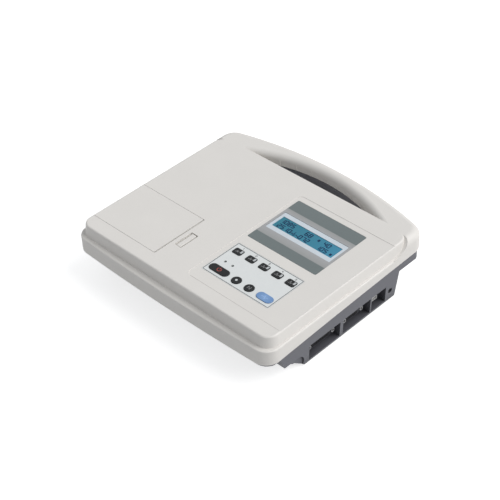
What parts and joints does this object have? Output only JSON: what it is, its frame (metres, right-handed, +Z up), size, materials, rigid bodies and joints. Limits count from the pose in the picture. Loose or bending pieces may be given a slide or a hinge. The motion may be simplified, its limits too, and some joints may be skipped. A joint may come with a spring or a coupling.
{
  "type": "ecg machine",
  "caption": "Portable single-channel ECG recorder: pale moulded cover with carrying handle, display, keypad and printer door on a dark tub with side connectors.",
  "frame": {"origin": "middle of the footprint, on the table under the feet", "axes": "+X to the user's right, +Y towards the rear handle, +Z up"},
  "size_m": [0.268, 0.2485, 0.0668],
  "materials": {
    "pale_shell": "fine moulded texture",
    "dark_shell": "fine moulded texture",
    "display_print": "printed polycarbonate, satin",
    "lcd_metal": "satin",
    "lcd_screen": "backlit glass",
    "keypad_print": "printed polyester, satin",
    "key_black": "satin",
    "key_blue": "satin",
    "lamp_lens": "clear",
    "circuit_board": "solder mask",
    "component_black": "moulded",
    "connector_face": "moulded face in a plated shell",
    "steel": "plated",
    "brass_pin": "turned",
    "heat_sink": "extruded",
    "head_ceramic": "glazed",
    "gear_plastic": "acetal",
    "roller_rubber": "ground",
    "tray_plastic": "moulded",
    "paper": "coated thermal paper",
    "core_card": "wound card",
    "battery_wrap": "heat-shrink film"
  },
  "bodies": {
    "case": {"top_cover": "pale_shell", "bottom_case": "dark_shell", "display_panel": "display_print", "lcd_frame": "lcd_metal", "lcd_glass": "lcd_screen", "lcd_board": "circuit_board", "keypad_overlay": "keypad_print", "keypad_board": "circuit_board", "key_switches": "component_black", "indicator_leds": "lamp_lens", "door_hinge_pin": "steel", "idler_pin": "steel", "stepper_motor": "steel", "printer_frame": "steel", "print_head": "head_ceramic", "head_heat_sink": "heat_sink", "head_spring": "steel", "paper_tray": "tray_plastic", "latch_guide": "tray_plastic", "main_board": "circuit_board", "buzzer": "component_black", "ecg_connector": "connector_face", "serial_connector": "connector_face", "connector_jackscrews": "steel", "usb_port": "steel", "external_input_jack": "component_black", "power_board": "circuit_board", "transformer": "steel", "mains_inlet": "component_black", "ground_stud": "brass_pin", "battery_pack": "battery_wrap", "battery_cover": "dark_shell", "battery_cover_screws": "steel", "rubber_feet": "roller_rubber", "case_screws": "steel", "board_screws": "steel"},
    "door": {"paper_door": "pale_shell", "platen_bushes": "gear_plastic"},
    "platen": {"platen_roller": "roller_rubber", "platen_shaft": "steel", "platen_gear": "gear_plastic"},
    "idler": {"idler_gear": "gear_plastic"},
    "pinion": {"motor_pinion": "gear_plastic"},
    "paper": {"paper_roll": "paper", "paper_core": "core_card", "paper_spindle": "gear_plastic"},
    "latch": {"door_latch": "pale_shell"},
    "function_key_1": {"function_key_1": "key_black"},
    "function_key_2": {"function_key_2": "key_black"},
    "function_key_3": {"function_key_3": "key_black"},
    "function_key_4": {"function_key_4": "key_black"},
    "function_key_5": {"function_key_5": "key_black"},
    "power_key": {"power_key": "key_black"},
    "mode_key": {"mode_key": "key_black"},
    "lead_key": {"lead_key": "key_black"},
    "start_key": {"start_key": "key_blue"}
  },
  "joints": [
    {"name": "door_hinge", "type": "hinge", "parent": "case", "child": "door", "pos_m": [-0.1235, -0.0644, 0.0605], "axis": [0, -1, 0], "range_deg": [0, 100]},
    {"name": "platen_spin", "type": "hinge", "parent": "door", "child": "platen", "pos_m": [-0.0474, -0.0644, 0.0571], "axis": [0, 1, 0], "continuous": true},
    {"name": "idler_spin", "type": "hinge", "parent": "case", "child": "idler", "pos_m": [-0.0474, -0.0644, 0.0438], "axis": [0, 1, 0], "continuous": true},
    {"name": "pinion_spin", "type": "hinge", "parent": "case", "child": "pinion", "pos_m": [-0.03969, -0.0644, 0.03609], "axis": [0, 1, 0], "continuous": true},
    {"name": "paper_roll_spin", "type": "hinge", "parent": "case", "child": "paper", "pos_m": [-0.0902, -0.0644, 0.0435], "axis": [0, 1, 0], "continuous": true},
    {"name": "latch_slide", "type": "slide", "parent": "case", "child": "latch", "axis": [1, 0, 0], "range_m": [0, 0.0018], "stiffness_N_per_m": 400},
    {"name": "function_key_1_press", "type": "slide", "parent": "case", "child": "function_key_1", "axis": [0, 0, -1], "range_m": [0, 0.0006], "stiffness_N_per_m": 800},
    {"name": "function_key_2_press", "type": "slide", "parent": "case", "child": "function_key_2", "axis": [0, 0, -1], "range_m": [0, 0.0006], "stiffness_N_per_m": 800},
    {"name": "function_key_3_press", "type": "slide", "parent": "case", "child": "function_key_3", "axis": [0, 0, -1], "range_m": [0, 0.0006], "stiffness_N_per_m": 800},
    {"name": "function_key_4_press", "type": "slide", "parent": "case", "child": "function_key_4", "axis": [0, 0, -1], "range_m": [0, 0.0006], "stiffness_N_per_m": 800},
    {"name": "function_key_5_press", "type": "slide", "parent": "case", "child": "function_key_5", "axis": [0, 0, -1], "range_m": [0, 0.0006], "stiffness_N_per_m": 800},
    {"name": "power_key_press", "type": "slide", "parent": "case", "child": "power_key", "axis": [0, 0, -1], "range_m": [0, 0.0006], "stiffness_N_per_m": 800},
    {"name": "mode_key_press", "type": "slide", "parent": "case", "child": "mode_key", "axis": [0, 0, -1], "range_m": [0, 0.0006], "stiffness_N_per_m": 800},
    {"name": "lead_key_press", "type": "slide", "parent": "case", "child": "lead_key", "axis": [0, 0, -1], "range_m": [0, 0.0006], "stiffness_N_per_m": 800},
    {"name": "start_key_press", "type": "slide", "parent": "case", "child": "start_key", "axis": [0, 0, -1], "range_m": [0, 0.0006], "stiffness_N_per_m": 800}
  ],
  "couplings": [
    {"joint": "idler_spin", "follows": "platen_spin", "ratio": -0.83333},
    {"joint": "pinion_spin", "follows": "platen_spin", "ratio": 1.6667}
  ]
}
